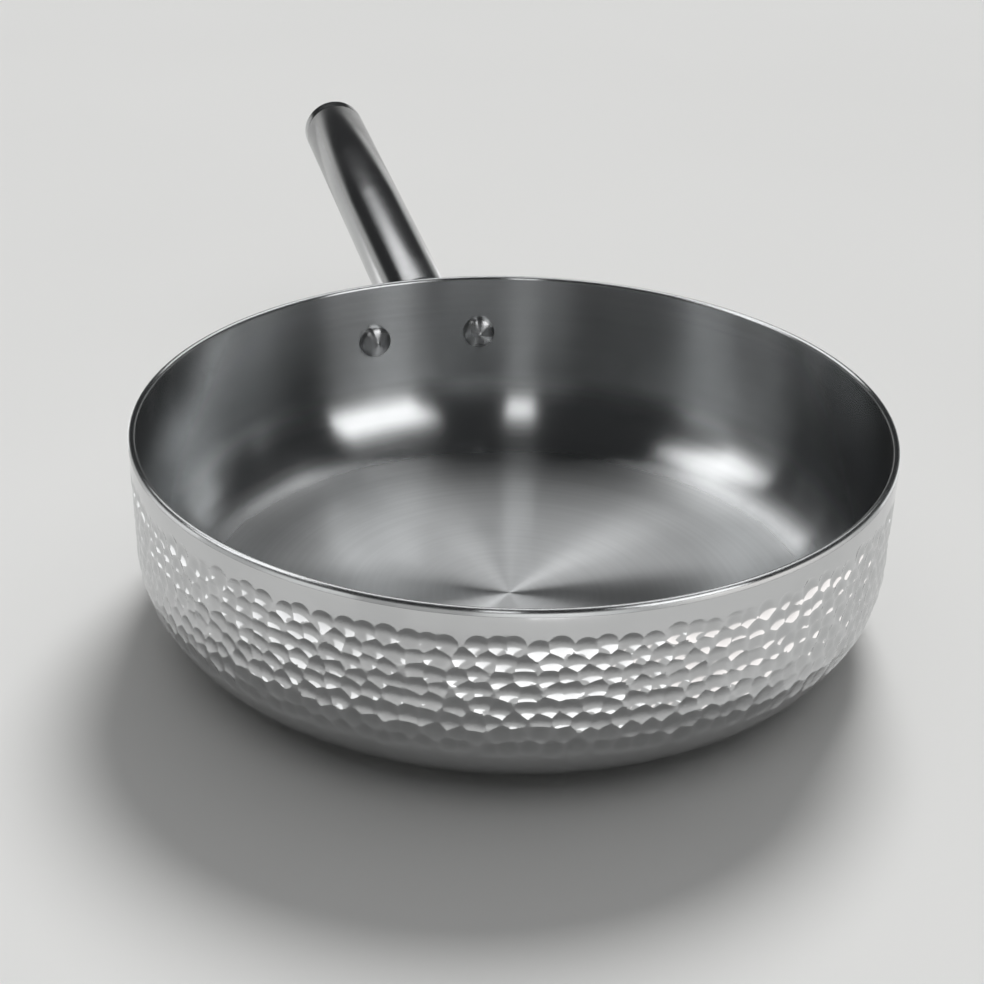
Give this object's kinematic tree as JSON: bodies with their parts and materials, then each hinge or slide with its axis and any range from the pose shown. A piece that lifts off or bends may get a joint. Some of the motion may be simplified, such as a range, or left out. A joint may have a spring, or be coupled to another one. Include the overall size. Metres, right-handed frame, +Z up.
{
  "type": "saute pan",
  "caption": "Wide shallow steel pan with a hammered outside, a plain band under a rounded rim and one long round tubular handle riveted to its wall.",
  "frame": {"origin": "middle of the flat base, on the surface that the pan stands on", "axes": "+Z up along the bowl's axis, +Y along the handle away from the bowl, +X to the right seen from the side opposite the handle"},
  "size_m": [0.2398, 0.4125, 0.0852],
  "materials": {
    "polished_steel": "mirror polished stainless steel",
    "brushed_steel": "brushed round the wall, turned in rings on the base",
    "turned_steel": "turned stainless steel",
    "aluminium_core": "plain rolled sheet"
  },
  "bodies": {
    "root": {"hammered_outer_skin": "polished_steel", "heat_core": "aluminium_core", "brushed_inner_skin": "brushed_steel", "handle_bracket": "polished_steel", "handle_tube": "polished_steel", "handle_end_cap": "polished_steel", "rivet_left": "turned_steel", "rivet_right": "turned_steel"}
  },
  "joints": []
}
